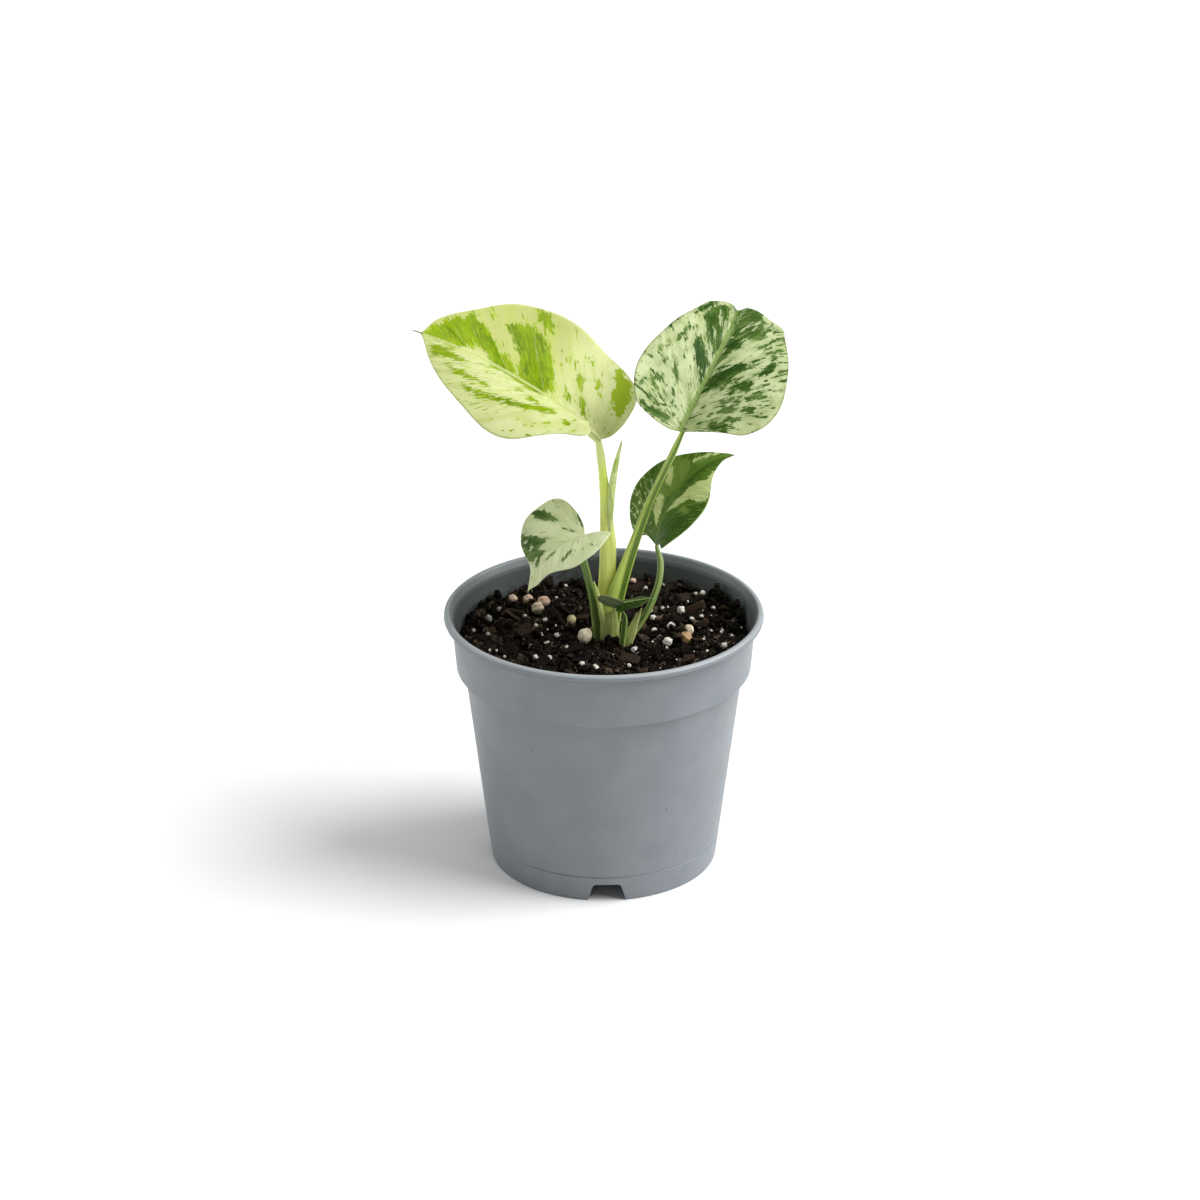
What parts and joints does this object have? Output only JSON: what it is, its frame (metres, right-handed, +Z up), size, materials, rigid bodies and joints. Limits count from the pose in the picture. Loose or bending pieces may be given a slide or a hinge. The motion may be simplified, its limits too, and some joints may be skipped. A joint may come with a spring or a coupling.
{
  "type": "potted variegated monstera",
  "caption": "Young variegated monstera with cream, lime and dark green leaves on sheathed stalks, standing in bark mix in a round grey nursery pot.",
  "frame": {"origin": "on the pot's axis, at the surface that the pot stands on", "axes": "+Z up along the pot's axis; -Y is the front, which the plant's leaves face; +X to the right seen from the front"},
  "size_m": [0.1375, 0.1216, 0.2149],
  "materials": {
    "pot_plastic": "satin injection-moulded polypropylene, slightly bluish grey",
    "potting_mix": "damp bark and peat crumbs, almost black, with white perlite and pale pebbles",
    "root": "pale fleshy root and buried stem",
    "lime_blade": "thin leathery leaf, cream with lime green patches, satin",
    "green_blade": "thin leathery leaf, dark green with cream flecks, satin",
    "cream_blade": "thin leathery leaf, pale cream with dark green patches, satin",
    "lime_stalk": "smooth juicy stalk, yellow green",
    "green_stalk": "smooth juicy stalk, mid green with paler edges",
    "pale_sheath": "thin pale green sheath"
  },
  "bodies": {
    "root": {"pot": "pot_plastic", "potting_mix": "potting_mix", "root_crown": "root", "leaf_1_blade": "lime_blade", "leaf_1_stalk": "lime_stalk", "leaf_2_blade": "green_blade", "leaf_2_stalk": "green_stalk", "leaf_3_blade": "green_blade", "leaf_3_stalk": "green_stalk", "leaf_4_blade": "cream_blade", "leaf_4_stalk": "green_stalk", "leaf_5_blade": "green_blade", "leaf_5_stalk": "green_stalk", "new_leaf": "lime_stalk", "bud_sheath": "pale_sheath"}
  },
  "joints": []
}
